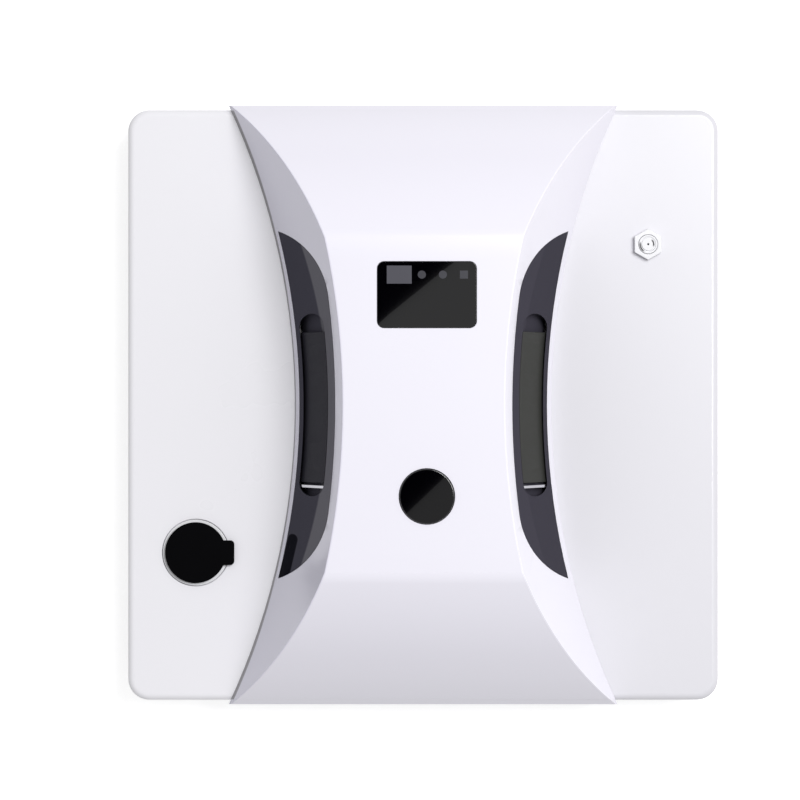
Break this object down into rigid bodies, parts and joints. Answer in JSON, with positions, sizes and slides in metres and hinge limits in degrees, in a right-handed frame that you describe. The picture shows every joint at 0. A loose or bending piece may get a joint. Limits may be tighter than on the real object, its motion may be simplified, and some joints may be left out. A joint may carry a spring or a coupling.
{
  "type": "window cleaning robot",
  "caption": "Square window cleaning robot with a raised waisted bridge as handle, dark side grips, belts, suction fan, spray nozzle and a microfibre pad underneath.",
  "frame": {"origin": "centre of the underside, on the plane that the belts stand on", "axes": "+Z away from the pane, +Y towards the end with the power inlet, +X towards the spray nozzle"},
  "size_m": [0.24, 0.2435, 0.0848],
  "materials": {
    "shell_white": "smooth gloss",
    "grip_black": "satin",
    "grip_rubber": "satin",
    "bright_trim": "polished",
    "panel_black": "polished",
    "window_grey": "smoked, smooth",
    "cap_rubber": "satin",
    "nozzle_white": "smooth",
    "tank_milky": "milky",
    "hose_clear": "smooth",
    "machine_black": "fine grain",
    "machine_grey": "fine grain",
    "motor_steel": "brushed",
    "axle_steel": "ground",
    "brass": "turned",
    "board_green": "solder mask",
    "cell_blue": "shrink wrap",
    "belt_rubber": "moulded",
    "pad_cloth": "looped microfibre",
    "tape_white": "hook tape",
    "screw_steel": "plated"
  },
  "bodies": {
    "chassis": {"base_tray": "shell_white", "upper_deck": "shell_white", "bridge_cover": "shell_white", "left_grip": "grip_black", "right_grip": "grip_black", "left_grip_pad": "grip_rubber", "right_grip_pad": "grip_rubber", "left_grip_trim": "bright_trim", "right_grip_trim": "bright_trim", "display_window": "panel_black", "receiver_window": "window_grey", "indicator_lenses": "window_grey", "display_module": "machine_grey", "display_board": "board_green", "button_switch": "motor_steel", "fill_port_ring": "nozzle_white", "water_tank": "tank_milky", "water_pump": "machine_black", "tank_hose": "hose_clear", "spray_hose": "hose_clear", "nozzle_body": "nozzle_white", "nozzle_tip": "nozzle_white", "nozzle_nut": "motor_steel", "fan_housing": "machine_grey", "fan_motor": "motor_steel", "inlet_grille": "machine_black", "left_belt": "belt_rubber", "right_belt": "belt_rubber", "left_idler_pin": "axle_steel", "right_idler_pin": "axle_steel", "left_gearmotor": "motor_steel", "right_gearmotor": "motor_steel", "main_board": "board_green", "board_standoffs": "brass", "battery_pack": "cell_blue", "power_inlet": "machine_black", "hook_tape": "tape_white", "edge_sensors": "panel_black", "casing_screws": "screw_steel", "cover_screws": "screw_steel", "board_screws": "screw_steel"},
    "power_button": {"power_button": "panel_black"},
    "fill_cap": {"fill_cap": "cap_rubber"},
    "impeller": {"fan_impeller": "machine_grey", "fan_shaft": "axle_steel"},
    "left_drive": {"left_drive_wheel": "machine_grey", "left_drive_axle": "axle_steel"},
    "right_drive": {"right_drive_wheel": "machine_grey", "right_drive_axle": "axle_steel"},
    "left_idler": {"left_idler_wheel": "machine_grey"},
    "right_idler": {"right_idler_wheel": "machine_grey"},
    "cleaning_pad": {"cleaning_pad": "pad_cloth"}
  },
  "joints": [
    {"name": "power_button_press", "type": "slide", "parent": "chassis", "child": "power_button", "axis": [0, 0, -1], "range_m": [0, 0.0012], "stiffness_N_per_m": 900, "springref_m": -0.0006},
    {"name": "fill_cap_lift", "type": "slide", "parent": "chassis", "child": "fill_cap", "axis": [0, 0, 1], "range_m": [0, 0.03]},
    {"name": "impeller_spin", "type": "hinge", "parent": "chassis", "child": "impeller", "pos_m": [0, 0, 0.02], "axis": [0, 0, 1], "continuous": true},
    {"name": "cleaning_pad_peel", "type": "slide", "parent": "chassis", "child": "cleaning_pad", "axis": [0, 0, -1], "range_m": [0, 0.03]},
    {"name": "left_drive_spin", "type": "hinge", "parent": "chassis", "child": "left_drive", "pos_m": [-0.066, -0.05483, 0.015], "axis": [1, 0, 0], "continuous": true},
    {"name": "left_idler_spin", "type": "hinge", "parent": "chassis", "child": "left_idler", "pos_m": [-0.066, 0.05483, 0.015], "axis": [1, 0, 0], "continuous": true},
    {"name": "right_drive_spin", "type": "hinge", "parent": "chassis", "child": "right_drive", "pos_m": [0.066, -0.05483, 0.015], "axis": [1, 0, 0], "continuous": true},
    {"name": "right_idler_spin", "type": "hinge", "parent": "chassis", "child": "right_idler", "pos_m": [0.066, 0.05483, 0.015], "axis": [1, 0, 0], "continuous": true}
  ],
  "couplings": [
    {"joint": "left_idler_spin", "follows": "left_drive_spin", "ratio": 1},
    {"joint": "right_idler_spin", "follows": "right_drive_spin", "ratio": 1}
  ]
}
